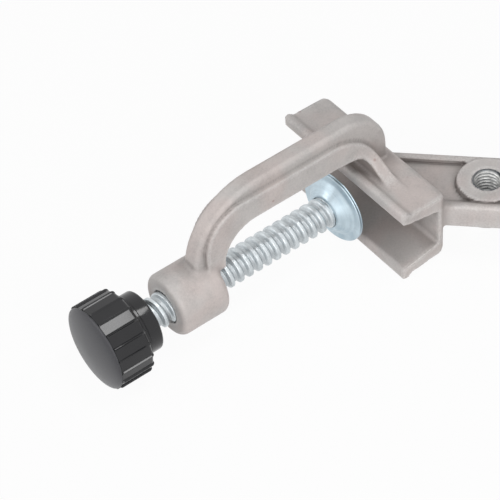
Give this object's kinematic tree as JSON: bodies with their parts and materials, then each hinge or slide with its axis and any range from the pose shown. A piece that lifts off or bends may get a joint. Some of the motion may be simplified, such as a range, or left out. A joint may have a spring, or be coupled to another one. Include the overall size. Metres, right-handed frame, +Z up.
{
  "type": "corner clamp",
  "caption": "Cast corner clamp: channel jaws at right angles, an arm over each with a knobbed coarse-thread screw and a swivelling pressure pad, joined by a bridge with a threaded centre hole.",
  "frame": {"origin": "centre of the clamp's bounding box in plan, on the plane that it rests on", "axes": "+X from the left screw's side to the right one, +Y from the boards' corner towards the bridge's back edge, +Z up, square to the plane of both screws"},
  "size_m": [0.2726, 0.1238, 0.0537],
  "materials": {
    "cast_aluminium": "bead-blasted die casting",
    "zinc_plate": "pressed sheet steel with pale blue zinc plating",
    "bright_steel": "bright zinc-plated steel",
    "gloss_black_plastic": "glossy moulded black plastic",
    "satin_black_plastic": "satin charcoal plastic"
  },
  "bodies": {
    "frame": {"frame_casting": "cast_aluminium"},
    "left_carrier": {"left_pad_ring": "bright_steel"},
    "left_screw": {"left_spindle": "bright_steel", "left_knob": "gloss_black_plastic", "left_knob_cap": "satin_black_plastic", "left_knob_nut": "bright_steel", "left_knob_washer": "bright_steel"},
    "left_pad": {"left_pad_face": "zinc_plate", "left_pad_cup": "zinc_plate"},
    "right_carrier": {"right_pad_ring": "bright_steel"},
    "right_screw": {"right_spindle": "bright_steel", "right_knob": "gloss_black_plastic", "right_knob_cap": "satin_black_plastic", "right_knob_nut": "bright_steel", "right_knob_washer": "bright_steel"},
    "right_pad": {"right_pad_face": "zinc_plate", "right_pad_cup": "zinc_plate"}
  },
  "joints": [
    {"name": "left_feed", "type": "slide", "parent": "frame", "child": "left_carrier", "axis": [0.7071, 0.7071, 0], "range_m": [-0.045, 0.0025]},
    {"name": "left_turn", "type": "hinge", "parent": "left_carrier", "child": "left_screw", "pos_m": [-0.0493, 0.02518, 0.016], "axis": [0.7071, 0.7071, 0], "range_deg": [-4060, 230]},
    {"name": "left_swivel", "type": "hinge", "parent": "left_carrier", "child": "left_pad", "pos_m": [-0.05588, 0.01861, 0.016], "axis": [0, 0, 1], "range_deg": [-10, 0]},
    {"name": "right_feed", "type": "slide", "parent": "frame", "child": "right_carrier", "axis": [-0.7071, 0.7071, 0], "range_m": [-0.045, 0.0025]},
    {"name": "right_turn", "type": "hinge", "parent": "right_carrier", "child": "right_screw", "pos_m": [0.0493, 0.02518, 0.016], "axis": [-0.7071, 0.7071, 0], "range_deg": [-4060, 230]},
    {"name": "right_swivel", "type": "hinge", "parent": "right_carrier", "child": "right_pad", "pos_m": [0.05588, 0.01861, 0.016], "axis": [0, 0, 1], "range_deg": [0, 10]}
  ],
  "couplings": [
    {"joint": "left_turn", "follows": "left_feed", "rad_per_m": 1570.8},
    {"joint": "right_turn", "follows": "right_feed", "rad_per_m": 1570.8}
  ]
}
